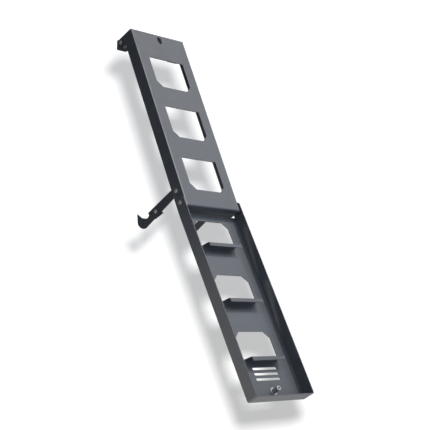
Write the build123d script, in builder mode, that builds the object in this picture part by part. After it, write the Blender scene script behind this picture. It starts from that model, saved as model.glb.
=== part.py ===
"""Folding sheet metal rear ladder.

An upper box pan hangs from a bracket whose flat back face bolts to an upright
face. A lower box pan folds forward and up over it like a lid. Two hook arms
swing on the upper pan and hold it off at the bottom. All sizes are millimetres.
The ladder stands leaning, as in use. The origin is on the back face of the
mounting bracket, +Y points into the wall, +Z is up.
"""
import os
from math import cos, radians, sin

from build123d import *

os.makedirs("parts", exist_ok=True)

# Sheet and fasteners
sheet = 3.0
bend_radius = 6.0
side_gap = 5.0
fold_gap = 5.0
pin_radius = 4.0
running_fit = 0.05
hole_radius = 4.2
head_radius = 7.0
head_height = 3.0
nut_radius = 7.5
nut_height = 6.5
washer_radius = 10.0
face_play = 0.2

# Upper pan, measured along and across its own web
upper_width = 250.0
upper_length = 714.0
upper_depth = 48.6
upper_lean = 25.5
window_width = 160.0
window_first = 66.2
window_bar = 83.0
window_top_margin = 113.4
window_pitch = (upper_length - window_first - window_top_margin + window_bar) / 3
window_height = window_pitch - window_bar
window_chamfer = 22.8
slot_width = 19.0
slot_height = 30.0
slot_centre = upper_length - 25.3

# Ears of the upper pan: their outline starts inside the side walls
ear_start = 20.0
ear_overhang = 29.4
ear_reach = upper_depth + ear_overhang
ear_height = 65.0
ear_bottom = upper_length - ear_height
ear_lap = 30.0
ear_outline = [(ear_start, ear_bottom - ear_lap), (upper_depth, ear_bottom - ear_lap),
               (upper_depth, ear_bottom), (ear_reach - 14.0, ear_bottom + 8.0),
               (ear_reach + 2.0, upper_length - 16.0), (ear_reach - 4.0, upper_length),
               (ear_start, upper_length)]
ear_bolts = [(ear_reach - 8.8, upper_length - 15.2), (ear_reach - 24.0, upper_length - 45.7)]

# Fold pin, in the side view of the upper pan
pin_depth = 19.1
pin_height = 20.0

# Lower pan, measured from the fold pin
lower_kick = 3.17
lower_width = upper_width + 2 * side_gap + 2 * sheet
lower_back = pin_depth + fold_gap + sheet
lower_inner = lower_back - sheet
lower_front_edge = -20.2
lower_corner_radius = 7.0
lower_top = -25.0
lower_cheek_top = 20.0
lower_cheek_round = 15.0
lower_cheek_lap = 20.0
lower_length = upper_length - pin_height + fold_gap + sheet
lower_window_top = -48.5
lower_window_height = window_height - 26.3
tread_level = lower_window_top - lower_window_height
tread_width = window_width - 2 * fold_gap
tread_depth = 32.0
tread_fall = 5.0
tread_lip = 14.0
tread_bend = 5.0
stud_level = pin_height - slot_centre
vent_levels = (stud_level + 78.7, stud_level + 60.7, stud_level + 42.7)
vent_length = 112.0
vent_height = 9.0
stud_play = 1.0
stud_radius = slot_width / 2 - stud_play
stud_neck = 6.0
stud_length = 27.0
stud_washer_radius = 13.0
stud_washer_height = 2.0

# Hook arms, in the side view of the upper pan
arm_pivot = (29.0, 70.0)
arm_end_radius = 15.0
arm_thickness = 4.0
arm_spacer = 4.3
arm_bolt = (152.0, 60.0)
arm_tab_low = 129.0
arm_tab_high = 172.0
arm_tab_floor = 42.3
arm_tab_outline = [(arm_tab_low, arm_tab_floor), (arm_tab_high, arm_tab_floor),
                   (arm_tab_high, arm_tab_floor + 17.0), (arm_tab_high - 10.0, arm_tab_floor + 28.0),
                   (arm_tab_low + 10.0, arm_tab_floor + 28.0), (arm_tab_low, arm_tab_floor + 17.0)]
arm_tab_reach = 6.0
arm_outer = upper_width / 2 - sheet - arm_spacer - face_play
arm_inner = arm_outer - arm_thickness
arm_outline = [(29.0, 85.0), (57.0, 88.1), (189.0, 74.2), (188.5, 62.5), (199.0, 60.0), (207.0, 61.5),
               (214.5, 67.5), (225.0, 73.2), (240.7, 97.0), (252.0, 63.2), (246.0, 48.0), (236.0, 37.5),
               (223.2, 32.5), (60.0, 57.8), (29.0, 55.0)]

# Mounting bracket, in the wall's own frame: the origin is half way up its cheeks
bracket_height = 34.5
bracket_plate_low = -12.0
bracket_lip = 14.0
bracket_hole_pitch = 180.0
bracket_hole_radius = 4.5
cheek_front = [(-18.0, bracket_height / 2), (-61.0, -6.0), (-64.0, -29.0), (-46.0, -32.0)]

# Where the wall face stands, seen from the upper pan, and so where the pan hangs
wall_point = (ear_reach + 14.28, upper_length - 9.0)
tilt = radians(upper_lean)
wall_distance = wall_point[0] * cos(tilt) + wall_point[1] * sin(tilt)
wall_drop = wall_point[1] * cos(tilt) - wall_point[0] * sin(tilt)


def front_plane(origin, lean):
    """Sketch plane on a leaning web: x to the right, y up the web, normal to the user."""
    tilt = radians(lean)
    return Plane(origin=origin, x_dir=(1, 0, 0), z_dir=(0, -cos(tilt), sin(tilt)))


def side_plane(origin, lean, x):
    """Side view at a distance along X: x into the wall, y up the web, normal to the right."""
    tilt = radians(lean)
    return Plane(origin=(x, origin[1], origin[2]), x_dir=(0, cos(tilt), -sin(tilt)), z_dir=(1, 0, 0))


upper_origin = (0, -wall_distance, -wall_drop)
upper_front = front_plane(upper_origin, upper_lean)
pin_point = tuple(side_plane(upper_origin, upper_lean, 0).from_local_coords((pin_depth, pin_height)))
lower_lean = upper_lean + lower_kick
lower_front = front_plane(pin_point, lower_lean)
to_user = Axis((0, 0, 0), tuple(upper_front.z_dir))
lower_to_user = Axis((0, 0, 0), tuple(lower_front.z_dir))


def upper_side(x):
    """Side view of the upper pan."""
    return side_plane(upper_origin, upper_lean, x)


def lower_side(x):
    """Side view of the lower pan, centred on the fold pin."""
    return side_plane(pin_point, lower_lean, x)


def window_points(low, high, cut_low):
    """Foot opening between two levels, with two cut corners at one end."""
    half = window_width / 2
    cut = low if cut_low else high
    plain = high if cut_low else low
    shoulder = cut + (window_chamfer if cut_low else -window_chamfer)
    return [(-half, plain), (half, plain), (half, shoulder), (half - window_chamfer, cut),
            (-half + window_chamfer, cut), (-half, shoulder)]


pieces = []

with BuildPart() as upper_pan:
    with BuildSketch(upper_front):
        with Locations((0, upper_length / 2)):
            Rectangle(upper_width, upper_length)
    extrude(amount=-upper_depth)
    fillet(upper_pan.faces().sort_by(to_user)[-1].edges(), bend_radius)
    offset(amount=-sheet, openings=upper_pan.faces().sort_by(to_user)[0])
    # Side ears that carry the mounting bracket
    for x in (-upper_width / 2, upper_width / 2 - sheet):
        with BuildSketch(upper_side(x)):
            with BuildLine():
                Polyline(*ear_outline, close=True)
            make_face()
        extrude(amount=sheet)
    with BuildSketch(upper_front.offset(1)):
        for step in range(3):
            low = window_first + step * window_pitch
            with BuildLine():
                Polyline(*window_points(low, low + window_height, True), close=True)
            make_face()
        with Locations((0, slot_centre)):
            SlotOverall(slot_height, slot_width, rotation=90)
    extrude(amount=-sheet - 3, mode=Mode.SUBTRACT)
    with BuildSketch(upper_side(-upper_width)):
        with Locations((pin_depth, pin_height), arm_pivot, *ear_bolts):
            Circle(hole_radius)
    extrude(amount=2 * upper_width, mode=Mode.SUBTRACT)
upper_pan.part.label = "upper_pan"
pieces.append(upper_pan)

with BuildPart() as lower_pan:
    with BuildSketch(lower_front.offset(-lower_back)):
        with Locations((0, (lower_top + sheet - lower_length) / 2)):
            Rectangle(lower_width, lower_length + lower_top + sheet)
    extrude(amount=lower_back - lower_front_edge)
    fillet(lower_pan.edges().filter_by(lower_to_user).sort_by(Axis.Z)[:2], lower_corner_radius)
    fillet(lower_pan.faces().sort_by(lower_to_user)[0].edges(), bend_radius)
    offset(amount=-sheet, openings=lower_pan.faces().sort_by(lower_to_user)[-1])
    # The top end wall goes, the side walls run on up to the fold pins
    with BuildSketch(lower_front.offset(-lower_back - 1)):
        with Locations((0, lower_top + lower_width / 2)):
            Rectangle(2 * lower_width, lower_width)
    extrude(amount=2 * upper_depth, mode=Mode.SUBTRACT)
    for x in (-lower_width / 2, lower_width / 2 - sheet):
        with BuildSketch(lower_side(x)) as cheek:
            with BuildLine():
                Polyline((lower_front_edge, lower_top - lower_cheek_lap),
                         (lower_back - bend_radius, lower_top - lower_cheek_lap),
                         (lower_back - bend_radius, lower_cheek_top), (lower_front_edge, lower_cheek_top),
                         close=True)
            make_face()
            fillet(cheek.vertices().group_by(Axis.Y)[-1], lower_cheek_round)
        extrude(amount=sheet)
    with BuildSketch(lower_front.offset(-lower_back - 1)):
        for step in range(3):
            drop = step * window_pitch
            with BuildLine():
                Polyline(*window_points(tread_level - drop, lower_window_top - drop, False), close=True)
            make_face()
        with Locations(*[(0, level) for level in vent_levels]):
            SlotOverall(vent_length, vent_height)
        with Locations((0, stud_level)):
            Circle(stud_neck + 0.2)
    extrude(amount=sheet + 2, mode=Mode.SUBTRACT)
    with BuildSketch(lower_side(-lower_width)):
        Circle(pin_radius + running_fit)
    extrude(amount=2 * lower_width, mode=Mode.SUBTRACT)
lower_pan.part.label = "lower_pan"
pieces.append(lower_pan)

# Treads: a plate that falls a little to a turned down lip, inside the lower pan
for number in range(3):
    level = tread_level - number * window_pitch
    front = lower_inner - tread_depth
    nose = level - tread_fall
    under = nose - sheet + tread_fall * sheet / tread_depth
    with BuildPart() as tread:
        with BuildSketch(lower_side(-tread_width / 2)) as profile:
            with BuildLine():
                Polyline((lower_inner, level), (front, nose), (front, nose - tread_lip),
                         (front + sheet, nose - tread_lip), (front + sheet, under),
                         (lower_inner, level - sheet), close=True)
            make_face()
            fillet(profile.vertices().sort_by_distance((front, nose, 0))[0], tread_bend)
            fillet(profile.vertices().sort_by_distance((front + sheet, under, 0))[0], tread_bend - sheet)
        extrude(amount=tread_width)
    tread.part.label = f"lower_tread_{number + 1}"
    pieces.append(tread)

# Mounting bracket: a back plate with a level lip and two cheeks inside the ears
bracket_half = upper_width / 2 - sheet
with BuildPart() as mount_bracket:
    with BuildSketch(Plane.YZ.offset(-bracket_half)):
        with BuildLine():
            Polyline((0, bracket_plate_low), (0, bracket_height / 2), (-bracket_lip, bracket_height / 2),
                     (-bracket_lip, bracket_height / 2 - sheet), (-sheet, bracket_height / 2 - sheet),
                     (-sheet, bracket_plate_low), close=True)
        make_face()
    extrude(amount=2 * bracket_half)
    for x in (-bracket_half, bracket_half - sheet):
        with BuildSketch(Plane.YZ.offset(x)):
            with BuildLine():
                Polyline((0, -bracket_height / 2), (0, bracket_height / 2), *cheek_front, close=True)
            make_face()
        extrude(amount=sheet)
    with BuildSketch(Plane.XZ.offset(10)):
        with GridLocations(bracket_hole_pitch, 0, 2, 1):
            Circle(bracket_hole_radius)
    extrude(amount=-20, mode=Mode.SUBTRACT)
    with BuildSketch(upper_side(-upper_width)):
        with Locations(*ear_bolts):
            Circle(hole_radius)
    extrude(amount=2 * upper_width, mode=Mode.SUBTRACT)
mount_bracket.part.label = "mount_bracket"
pieces.append(mount_bracket)

# Lock stud on the lower pan: its head goes through the slot when folded
with BuildPart() as lock_stud:
    with BuildSketch(lower_front.offset(-lower_back - 8)):
        with Locations((0, stud_level)):
            Circle(stud_neck)
    extrude(amount=8 + sheet + stud_washer_height)
    with BuildSketch(lower_front.offset(-lower_inner + stud_washer_height)):
        with Locations((0, stud_level)):
            Circle(stud_radius)
    extrude(amount=stud_length - stud_washer_height)
    chamfer(lock_stud.faces().sort_by(lower_to_user)[-1].edges(), 1.5)
    with BuildSketch(lower_front.offset(-lower_inner + stud_length)):
        with Locations((0, stud_level)):
            RegularPolygon(4.5, 6)
    extrude(amount=-6, mode=Mode.SUBTRACT)
lock_stud.part.label = "lock_stud"
pieces.append(lock_stud)

with BuildPart() as lock_washer:
    with BuildSketch(lower_front.offset(-lower_inner)):
        with Locations((0, stud_level)):
            Circle(stud_washer_radius)
            Circle(stud_neck + 0.2, mode=Mode.SUBTRACT)
    extrude(amount=stud_washer_height)
lock_washer.part.label = "lock_washer"
pieces.append(lock_washer)

with BuildPart() as lock_nut:
    with BuildSketch(lower_front.offset(-lower_back)):
        with Locations((0, stud_level)):
            RegularPolygon(10.5, 6)
            Circle(stud_neck, mode=Mode.SUBTRACT)
    extrude(amount=-6.5)
lock_nut.part.label = "lock_nut"
pieces.append(lock_nut)

# What comes in pairs, left and right
for side, sign in (("left", -1), ("right", 1)):
    def outward(x):
        """Side view of the upper pan at a distance from the middle, seen from this side."""
        start = upper_side(sign * x)
        return Plane(origin=start.origin, x_dir=start.x_dir, z_dir=(sign, 0, 0))

    def across(points):
        """Side view points as seen on the outward plane, whose y axis flips on the left."""
        return [(y, sign * z) for y, z in points]

    # Arm with an open cradle at its end
    with BuildPart() as arm:
        with BuildSketch(outward(arm_inner)):
            with BuildLine():
                Polyline(*across(arm_outline), close=True)
            make_face()
            with Locations(*across([arm_pivot])):
                Circle(arm_end_radius)
                Circle(pin_radius + running_fit, mode=Mode.SUBTRACT)
            with Locations(*across([arm_bolt])):
                Circle(hole_radius, mode=Mode.SUBTRACT)
        extrude(amount=arm_thickness)
    arm.part.label = f"{side}_arm"
    pieces.append(arm)

    # Angle inside the arm, its level leg turned inward
    with BuildPart() as tab:
        with BuildSketch(outward(arm_inner - sheet)):
            with BuildLine():
                Polyline(*across(arm_tab_outline), close=True)
            make_face()
            with Locations(*across([arm_bolt])):
                Circle(hole_radius, mode=Mode.SUBTRACT)
        extrude(amount=sheet)
        with BuildSketch(outward(arm_inner - arm_tab_reach)):
            with BuildLine():
                Polyline(*across([(arm_tab_low, arm_tab_floor), (arm_tab_high, arm_tab_floor),
                                  (arm_tab_high, arm_tab_floor + sheet),
                                  (arm_tab_low, arm_tab_floor + sheet)]), close=True)
            make_face()
        extrude(amount=arm_tab_reach)
    tab.part.label = f"{side}_arm_angle"
    pieces.append(tab)

    bolts = [
        ("hinge", [(pin_depth, pin_height)], lower_width / 2 + face_play, upper_width / 2 - sheet),
        ("arm_pivot", [arm_pivot], upper_width / 2, arm_inner - face_play),
        ("arm_angle", [arm_bolt], arm_outer, arm_inner - sheet),
        ("bracket", ear_bolts, upper_width / 2, bracket_half - sheet),
    ]
    for name, centres, head_at, nut_at in bolts:
        with BuildPart() as bolt:
            with BuildSketch(outward(head_at)):
                with Locations(*across(centres)):
                    Circle(head_radius)
            extrude(amount=head_height)
            fillet(bolt.faces().sort_by(Axis.X)[-1 if sign > 0 else 0].edges(), 1.4)
            with BuildSketch(outward(nut_at - nut_height - 1)):
                with Locations(*across(centres)):
                    Circle(pin_radius)
            extrude(amount=head_at - nut_at + nut_height + 1)
            with BuildSketch(outward(head_at + head_height)):
                with Locations(*across(centres)):
                    RegularPolygon(2.9, 6)
            extrude(amount=-1.8, mode=Mode.SUBTRACT)
        bolt.part.label = f"{side}_{name}_bolt"
        pieces.append(bolt)
        with BuildPart() as nut:
            with BuildSketch(outward(nut_at - nut_height)):
                with Locations(*across(centres)):
                    RegularPolygon(nut_radius, 6)
                    Circle(pin_radius, mode=Mode.SUBTRACT)
            extrude(amount=nut_height)
        nut.part.label = f"{side}_{name}_nut"
        pieces.append(nut)

    for name, centre, start, height in (
            ("hinge", (pin_depth, pin_height), upper_width / 2, side_gap - face_play),
            ("arm_pivot", arm_pivot, arm_outer + face_play, arm_spacer)):
        with BuildPart() as spacer:
            with BuildSketch(outward(start)):
                with Locations(*across([centre])):
                    Circle(washer_radius)
                    Circle(hole_radius, mode=Mode.SUBTRACT)
            extrude(amount=height)
        spacer.part.label = f"{side}_{name}_spacer"
        pieces.append(spacer)

for piece in pieces:
    export_step(piece.part, f"parts/{piece.part.label}.step")
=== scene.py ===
"""Looks, light and camera for the folding rear ladder. Metres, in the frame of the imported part."""
from math import radians

import bpy
from mathutils import Matrix, Vector


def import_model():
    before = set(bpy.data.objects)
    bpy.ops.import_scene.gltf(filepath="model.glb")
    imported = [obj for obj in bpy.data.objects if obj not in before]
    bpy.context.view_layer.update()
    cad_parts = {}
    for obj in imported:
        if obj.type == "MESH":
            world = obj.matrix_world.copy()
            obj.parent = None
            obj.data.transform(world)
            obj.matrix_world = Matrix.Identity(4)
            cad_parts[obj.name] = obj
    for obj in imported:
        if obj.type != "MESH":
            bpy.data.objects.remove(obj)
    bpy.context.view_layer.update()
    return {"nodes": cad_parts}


# Colours, as linear values, and how far a finish strays from its colour
COAT = (0.106, 0.113, 0.127)
# Light colour of flecks in the coat and of its edges; on the edges it is partly rubbed coat and
# partly a painted highlight
COAT_WORN_AND_HIGHLIGHT = (0.23, 0.235, 0.245)
COAT_DUST = (0.20, 0.19, 0.175)
COAT_DARKER, COAT_LIGHTER = 0.90, 1.10
SCREW_STEEL = (0.36, 0.355, 0.345)
LOCK_STEEL = (0.40, 0.415, 0.44)
STEEL_DULLER, STEEL_BRIGHTER = 0.72, 1.25

# Patterns of the coat: scale in patches to the metre, detail, roughness
COAT_GRAIN = (1500.0, 2.0, 0.6)
COAT_PEEL = (330.0, 3.0, 0.5)
COAT_CLOUDS = (7.0, 4.0, 0.6)
COAT_CHIPS = (160.0, 4.0, 0.7)
COAT_SPOTS = (28.0, 5.0, 0.7)

# The part of each pattern's range that counts
CLOUD_RANGE = (0.3, 0.7)
CHIP_RANGE = (0.42, 0.62)
FLECK_RANGE = (0.35, 0.75)
SPOT_RANGE = (0.56, 0.80)
GRAIN_RANGE = (0.3, 0.7)
COAT_EDGE_RANGE = (0.03, 0.28)

# Edge lightening, partly rubbed coat and partly painted highlight, then dust, roughness and relief
# of the coat; a relief is a distance and a strength
FLECK_MOST = 0.16
DUST_MOST = 0.10
WEAR_AND_HIGHLIGHT_EVEN, WEAR_AND_HIGHLIGHT_CHIPPED = 0.25, 0.5
COAT_ROUGH = (0.44, 0.52)
GRAIN_ROUGH = (-0.03, 0.05)
PEEL_RELIEF = (0.00022, 0.35)
GRAIN_RELIEF = (0.00012, 0.55)
COAT_SPECULAR = 0.3
EDGE_RADIUS = 0.0005
EDGE_SAMPLES = 6

# Steel of the screws and of the lock stud
STEEL_LINES = (2600.0, 2.0, 0.5)
STEEL_PATCHES = (240.0, 4.0, 0.6)
PATCH_RANGE = (0.35, 0.68)
PATCH_ROUGH_RANGE = (0.3, 0.7)
# Edge lightening of the steel: partly rubbed metal, partly painted highlight
STEEL_EDGE_RANGE = (0.03, 0.3)
STEEL_EDGE_MOST = 0.6
STEEL_SMOOTHER, STEEL_ROUGHER = 0.06, 0.10
LINE_RELIEF = (0.00004, 0.4)
SCREW_ROUGH, LOCK_ROUGH = 0.38, 0.62
SCREW_STRETCH = (6.0, 1.0, 1.0)
LOCK_STRETCH = (1.0, 6.0, 1.0)

# Camera: where it stands, where it looks, and which way its top points
CAMERA_PLACE = (-2.50258, -2.91415, -0.94116)
CAMERA_VIEW = (0.70105, 0.70740, 0.09011)
CAMERA_UP = (-0.07593, -0.05160, 0.99578)
CAMERA_LENS = 89.52
CAMERA_SENSOR = 36.0

# Wall far behind the ladder, leaning away at its top, with its own glow
WALL_BEHIND = 8.2
WALL_HALF = 2.3
WALL_TILT = 1.045
WALL_GLOW = (0.521, 0.518, 0.514)

# Matt part of the wall: scale and power by which it rises with the distance from CAMERA_PLACE,
# a fixed point beside the wall's lamp
WALL_EVEN_SCALE = 0.090
WALL_EVEN_POWER = 3.0

# Lamp that throws the shadow on the wall, a little to the right of the camera and above it
WALL_LAMP_RIGHT = 0.065
WALL_LAMP_UP = 0.147
WALL_LAMP_SIZE = (0.082, 0.082)
WALL_LAMP_POWER = 1300.0

# Black cards that show only in reflections: place, direction across, direction up, half size
CARDS = {
    "left_card": ((-1.75, 1.2, 0.75), (1, 1, 0), (0, 0, 1), 1.3),
    "low_card": ((0.32, -0.19, -0.87), (-0.473, 0.881, 0.0), (-0.531, -0.285, -0.798), 0.25),
}
CARD_SHADE = 0.01

# Lamps on the ladder: place from its middle, width and height, watts, colour
OBJECT_MIDDLE = (0.0, -0.36, -0.58)
AREA_LAMPS = {
    "key": ((1.22, -2.25, 3.9), (0.53, 0.53), 101.0, (1.0, 0.93, 0.86)),
    "soft": ((1.65, -2.2, 2.23), (3.0, 1.1), 50.0, (0.82, 0.91, 1.0)),
    "bend_light": ((-2.4, -1.87, 2.6), (0.4, 0.4), 520.0, (0.95, 0.98, 1.0)),
    "low_fill": ((0.2, -4.2, -0.9), (1.5, 1.5), 30.0, (0.82, 0.90, 1.0)),
    "left_fill": ((-2.4, -1.87, 2.6), (0.8, 0.8), 22.0, (0.85, 0.92, 1.0)),
}
LIT_PIECES = {"bend_light": ("upper_pan",), "left_fill": ("lower_pan", "mount_bracket")}

# Warm beam from below on the foot of the ladder
GROUND_PLACE = (-1.49, -1.22, -2.79)
GROUND_TARGET = (-0.10, -0.95, -1.50)
GROUND_CONE = 37.0
GROUND_BLEND = 0.4
GROUND_RADIUS = 0.12
GROUND_POWER = 140.0
GROUND_COLOUR = (1.0, 0.90, 0.78)

# Even light from all round
SKY = (0.54, 0.75, 1.0)
SKY_LEVEL = 0.115


def sockets(node, **values):
    """Sets constant values on a node's input sockets, with spaces written as underscores."""
    for name, value in values.items():
        socket = node.inputs[name.replace("_", " ")]
        if hasattr(socket.default_value, "__len__") and len(value) == 3:
            value = (*value, 1.0)
        socket.default_value = value


class Material:
    """A node material with one Principled shader and short helpers to build on it."""

    def __init__(self, name):
        self.data = bpy.data.materials.new(name)
        self.data.use_nodes = True
        self.tree = self.data.node_tree
        self.shader = self.tree.nodes["Principled BSDF"]
        self.place = self.add("ShaderNodeTexCoord").outputs["Object"]

    def add(self, kind, **settings):
        """New node with its settings."""
        node = self.tree.nodes.new(kind)
        for name, value in settings.items():
            setattr(node, name, value)
        return node

    def link(self, start, end):
        """Joins an output socket to an input socket."""
        self.tree.links.new(start, end)

    def noise(self, scale, detail, roughness, stretch=(1.0, 1.0, 1.0)):
        """Noise in object space; stretch divides its frequency along an axis."""
        mapping = self.add("ShaderNodeMapping")
        mapping.inputs["Scale"].default_value = [1.0 / s for s in stretch]
        self.link(self.place, mapping.inputs["Vector"])
        node = self.add("ShaderNodeTexNoise")
        sockets(node, Scale=scale, Detail=detail, Roughness=roughness)
        self.link(mapping.outputs["Vector"], node.inputs["Vector"])
        return node.outputs["Fac"]

    def ramp(self, value, span, start=0.0, end=1.0):
        """Maps a span of values to start..end, clamped."""
        node = self.add("ShaderNodeMapRange", clamp=True)
        self.link(value, node.inputs["Value"])
        sockets(node, From_Min=span[0], From_Max=span[1], To_Min=start, To_Max=end)
        return node.outputs["Result"]

    def math(self, operation, first, second):
        """Result of an operation on two numbers or sockets."""
        node = self.add("ShaderNodeMath", operation=operation)
        for socket, value in zip(node.inputs, (first, second)):
            if isinstance(value, (int, float)):
                socket.default_value = value
            else:
                self.link(value, socket)
        return node.outputs["Value"]

    def mix(self, share, first, second):
        """Colour between first and second."""
        node = self.add("ShaderNodeMix", data_type="RGBA")
        self.link(share, node.inputs["Factor"])
        for socket, value in ((node.inputs[6], first), (node.inputs[7], second)):
            if isinstance(value, tuple):
                socket.default_value = (*value, 1.0)
            else:
                self.link(value, socket)
        return node.outputs[2]

    def bump(self, height, relief, normal):
        """Normal with a relief, given as its distance and strength, on top of another normal."""
        node = self.add("ShaderNodeBump")
        sockets(node, Distance=relief[0], Strength=relief[1])
        self.link(height, node.inputs["Height"])
        self.link(normal, node.inputs["Normal"])
        return node.outputs["Normal"]

    def edges(self, span):
        """Share of edge to lighten, partly rubbed finish and partly painted highlight, by how far
        the rounded normal turns from the true one.
        """
        bevel = self.add("ShaderNodeBevel", samples=EDGE_SAMPLES)
        bevel.inputs["Radius"].default_value = EDGE_RADIUS
        true = self.add("ShaderNodeNewGeometry").outputs["Normal"]
        dot = self.add("ShaderNodeVectorMath", operation="DOT_PRODUCT")
        self.link(bevel.outputs["Normal"], dot.inputs[0])
        self.link(true, dot.inputs[1])
        turned = self.math("SUBTRACT", 1.0, dot.outputs["Value"])
        return self.ramp(turned, span), bevel.outputs["Normal"]


def powder_coat():
    """Fine grained satin powder coat: clouds, orange peel, grain, dust, and edges lightened partly
    as rubbed coat and partly as a painted highlight.
    """
    m = Material("powder_coat_worn")
    clouds = m.noise(*COAT_CLOUDS)
    grain = m.noise(*COAT_GRAIN)
    peel = m.noise(*COAT_PEEL)
    edge, round_normal = m.edges(COAT_EDGE_RANGE)
    chips = m.ramp(m.noise(*COAT_CHIPS), CHIP_RANGE)
    # Edges lightened towards the light colour: partly rubbed coat, partly painted highlight
    wear_and_highlight_amount = m.math("ADD", WEAR_AND_HIGHLIGHT_EVEN, m.math("MULTIPLY", chips, WEAR_AND_HIGHLIGHT_CHIPPED))
    edge_wear_and_highlight = m.math("MULTIPLY", edge, wear_and_highlight_amount)
    shade = tuple(COAT_DARKER * c for c in COAT)
    light = tuple(COAT_LIGHTER * c for c in COAT)
    colour = m.mix(m.ramp(clouds, CLOUD_RANGE), shade, light)
    fleck = m.mix(m.ramp(grain, FLECK_RANGE, 0.0, FLECK_MOST), colour, COAT_WORN_AND_HIGHLIGHT)
    dust = m.ramp(m.noise(*COAT_SPOTS), SPOT_RANGE, 0.0, DUST_MOST)
    dusty = m.mix(dust, fleck, COAT_DUST)
    m.link(m.mix(edge_wear_and_highlight, dusty, COAT_WORN_AND_HIGHLIGHT), m.shader.inputs["Base Color"])
    rough = m.math("ADD", m.ramp(clouds, CLOUD_RANGE, *COAT_ROUGH),
                   m.ramp(grain, GRAIN_RANGE, *GRAIN_ROUGH))
    m.link(rough, m.shader.inputs["Roughness"])
    peeled = m.bump(peel, PEEL_RELIEF, round_normal)
    m.link(m.bump(grain, GRAIN_RELIEF, peeled), m.shader.inputs["Normal"])
    sockets(m.shader, Specular_IOR_Level=COAT_SPECULAR)
    return m.data


def steel(name, colour, rough, stretch):
    """Turned and plated steel: fine lines round the axis, dull patches, and bright edges, partly
    rubbed metal and partly a painted highlight.
    """
    m = Material(name)
    lines = m.noise(*STEEL_LINES, stretch)
    patches = m.noise(*STEEL_PATCHES)
    edge, round_normal = m.edges(STEEL_EDGE_RANGE)
    dull = tuple(STEEL_DULLER * c for c in colour)
    bright = tuple(STEEL_BRIGHTER * c for c in colour)
    body = m.mix(m.ramp(patches, PATCH_RANGE), dull, colour)
    # Edges lightened towards the bright colour: partly rubbed metal, partly painted highlight
    edge_share = m.ramp(edge, (0.0, 1.0), 0.0, STEEL_EDGE_MOST)
    m.link(m.mix(edge_share, body, bright), m.shader.inputs["Base Color"])
    roughness = m.ramp(patches, PATCH_ROUGH_RANGE, rough - STEEL_SMOOTHER, rough + STEEL_ROUGHER)
    m.link(roughness, m.shader.inputs["Roughness"])
    m.link(m.bump(lines, LINE_RELIEF, round_normal), m.shader.inputs["Normal"])
    sockets(m.shader, Metallic=1.0)
    return m.data


def stage_matt(name, glow):
    """Stage material, part glow and part matt, and the socket for the colour of its matt part."""
    m = Material(name)
    nodes = m.tree.nodes
    nodes.remove(m.shader)
    matt = m.add("ShaderNodeBsdfDiffuse")
    light = m.add("ShaderNodeEmission")
    sockets(light, Color=glow, Strength=1.0)
    both = m.add("ShaderNodeAddShader")
    m.link(matt.outputs[0], both.inputs[0])
    m.link(light.outputs[0], both.inputs[1])
    m.link(both.outputs[0], nodes["Material Output"].inputs["Surface"])
    return m, matt.inputs["Color"]


def wall_white():
    """White of the wall, darker where its lamp is nearer, so that the light on it is even."""
    m, colour = stage_matt("wall_white", WALL_GLOW)
    reach = m.add("ShaderNodeVectorMath", operation="DISTANCE")
    m.link(m.place, reach.inputs[0])
    reach.inputs[1].default_value = CAMERA_PLACE
    share = m.math("MULTIPLY", reach.outputs["Value"], WALL_EVEN_SCALE)
    m.link(m.math("POWER", share, WALL_EVEN_POWER), colour)
    return m.data


def card_black():
    """Black of the cards."""
    m, colour = stage_matt("card_black", (0.0, 0.0, 0.0))
    colour.default_value = (CARD_SHADE, CARD_SHADE, CARD_SHADE, 1.0)
    return m.data


def stage_plane(name, centre, across, up, half, material):
    """Flat four-sided piece of the stage."""
    across, up, centre = Vector(across).normalized(), Vector(up), Vector(centre)
    signs = ((-1, -1), (1, -1), (1, 1), (-1, 1))
    corners = [centre + half * (sx * across + sy * up) for sx, sy in signs]
    mesh = bpy.data.meshes.new(name)
    mesh.from_pydata([tuple(c) for c in corners], [], [(0, 1, 2, 3)])
    mesh.materials.append(material)
    plane = bpy.data.objects.new(name, mesh)
    bpy.context.scene.collection.objects.link(plane)
    return plane


def camera():
    """Camera at the photograph's place and angle. Returns its view, right and up directions."""
    view = Vector(CAMERA_VIEW).normalized()
    right = view.cross(Vector(CAMERA_UP)).normalized()
    up = right.cross(view)
    data = bpy.data.cameras.new("camera")
    data.lens = CAMERA_LENS
    data.sensor_width = CAMERA_SENSOR
    item = bpy.data.objects.new("camera", data)
    turned = Matrix((right, up, -view)).transposed().to_4x4()
    item.matrix_world = Matrix.Translation(CAMERA_PLACE) @ turned
    bpy.context.scene.collection.objects.link(item)
    bpy.context.scene.camera = item
    return view, right, up


def placed_lamp(name, data, place, target, power, colour):
    """Puts a lamp's data in the scene, pointing at a target."""
    data.energy = power
    data.color = colour
    lamp = bpy.data.objects.new(name, data)
    aim = Vector(target) - Vector(place)
    lamp.rotation_mode = "QUATERNION"
    lamp.rotation_quaternion = aim.to_track_quat("-Z", "Y")
    lamp.location = place
    bpy.context.scene.collection.objects.link(lamp)
    return lamp


def area_lamp(name, place, target, size, power, colour=(1.0, 1.0, 1.0)):
    """Area lamp of a given width and height that points at a target."""
    data = bpy.data.lights.new(name, "AREA")
    data.shape = "RECTANGLE"
    data.size, data.size_y = size
    return placed_lamp(name, data, place, target, power, colour)


def ground_lamp():
    """Round lamp with a soft edged beam, low down in front."""
    data = bpy.data.lights.new("ground_light", "SPOT")
    data.spot_size = radians(GROUND_CONE)
    data.spot_blend = GROUND_BLEND
    data.shadow_soft_size = GROUND_RADIUS
    return placed_lamp("ground_light", data, GROUND_PLACE, GROUND_TARGET, GROUND_POWER,
                       GROUND_COLOUR)


def linked(name, items, state="INCLUDE"):
    """Collection of items that a lamp's light, or its shadow, takes in or leaves out."""
    group = bpy.data.collections.new(name)
    for number, item in enumerate(items):
        group.objects.link(item)
        group.collection_objects[number].light_linking.link_state = state
    return group


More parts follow.
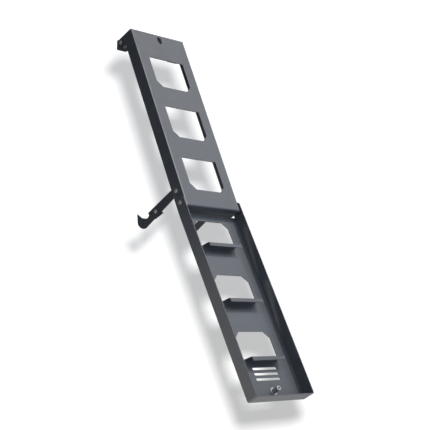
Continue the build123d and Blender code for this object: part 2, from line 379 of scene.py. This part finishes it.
def world():
    """White where it is seen or mirrored, and a low even light elsewhere."""
    made = bpy.data.worlds.new("studio")
    bpy.context.scene.world = made
    made.use_nodes = True
    tree = made.node_tree
    tree.nodes.clear()
    path = tree.nodes.new("ShaderNodeLightPath")
    seen = path.outputs["Is Camera Ray"]
    for name in ("Is Glossy Ray", "Is Transmission Ray"):
        add = tree.nodes.new("ShaderNodeMath")
        add.operation = "MAXIMUM"
        tree.links.new(seen, add.inputs[0])
        tree.links.new(path.outputs[name], add.inputs[1])
        seen = add.outputs[0]
    low = tree.nodes.new("ShaderNodeBackground")
    sockets(low, Color=SKY, Strength=SKY_LEVEL)
    white = tree.nodes.new("ShaderNodeBackground")
    sockets(white, Color=(1.0, 1.0, 1.0), Strength=1.0)
    mix = tree.nodes.new("ShaderNodeMixShader")
    tree.links.new(seen, mix.inputs[0])
    tree.links.new(low.outputs[0], mix.inputs[1])
    tree.links.new(white.outputs[0], mix.inputs[2])
    output = tree.nodes.new("ShaderNodeOutputWorld")
    tree.links.new(mix.outputs[0], output.inputs["Surface"])


def studio(view, right, up, nodes):
    """Wall with its shadow lamp, black cards, the lamps on the ladder and the world."""
    behind = Vector(CAMERA_PLACE) + WALL_BEHIND * view
    lean = up + WALL_TILT * view
    wall = stage_plane("wall", behind, right, lean, WALL_HALF, wall_white())
    wall.visible_diffuse = False
    wall.visible_glossy = False
    black = card_black()
    cards = {name: stage_plane(name, *shape, black) for name, shape in CARDS.items()}
    for card in cards.values():
        card.visible_camera = False
    cards["low_card"].visible_diffuse = False
    cards["low_card"].visible_shadow = False
    middle = Vector(OBJECT_MIDDLE)
    lamps = {name: area_lamp(name, middle + Vector(offset), middle, *rest)
             for name, (offset, *rest) in AREA_LAMPS.items()}
    lamps["ground_light"] = ground_lamp()
    lamps["bend_light"].visible_diffuse = False
    only_wall = linked("only_wall", [wall])
    all_but_wall = linked("all_but_wall", [wall], "EXCLUDE")
    for name, lamp in lamps.items():
        lit = all_but_wall
        if name in LIT_PIECES:
            lit = linked("lit_by_" + name, [nodes[piece] for piece in LIT_PIECES[name]])
        lamp.light_linking.receiver_collection = lit
    no_card = linked("no_card", cards.values(), "EXCLUDE")
    shadow_place = Vector(CAMERA_PLACE) + WALL_LAMP_RIGHT * right + WALL_LAMP_UP * up
    shadow = area_lamp("wall_lamp", shadow_place, behind, WALL_LAMP_SIZE, WALL_LAMP_POWER)
    shadow.light_linking.receiver_collection = only_wall
    shadow.light_linking.blocker_collection = no_card
    world()


def dress(nodes):
    """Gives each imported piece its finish."""
    coat = powder_coat()
    screw = steel("screw_steel", SCREW_STEEL, SCREW_ROUGH, SCREW_STRETCH)
    lock = steel("lock_steel", LOCK_STEEL, LOCK_ROUGH, LOCK_STRETCH)
    for name, item in nodes.items():
        finish = coat
        if name.endswith(("_bolt", "_nut", "_spacer")):
            finish = screw
        if name.startswith("lock_"):
            finish = lock
        for slot in item.material_slots:
            slot.material = finish


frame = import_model()
dress(frame["nodes"])
studio(*camera(), frame["nodes"])
bpy.context.scene.view_settings.view_transform = "Standard"
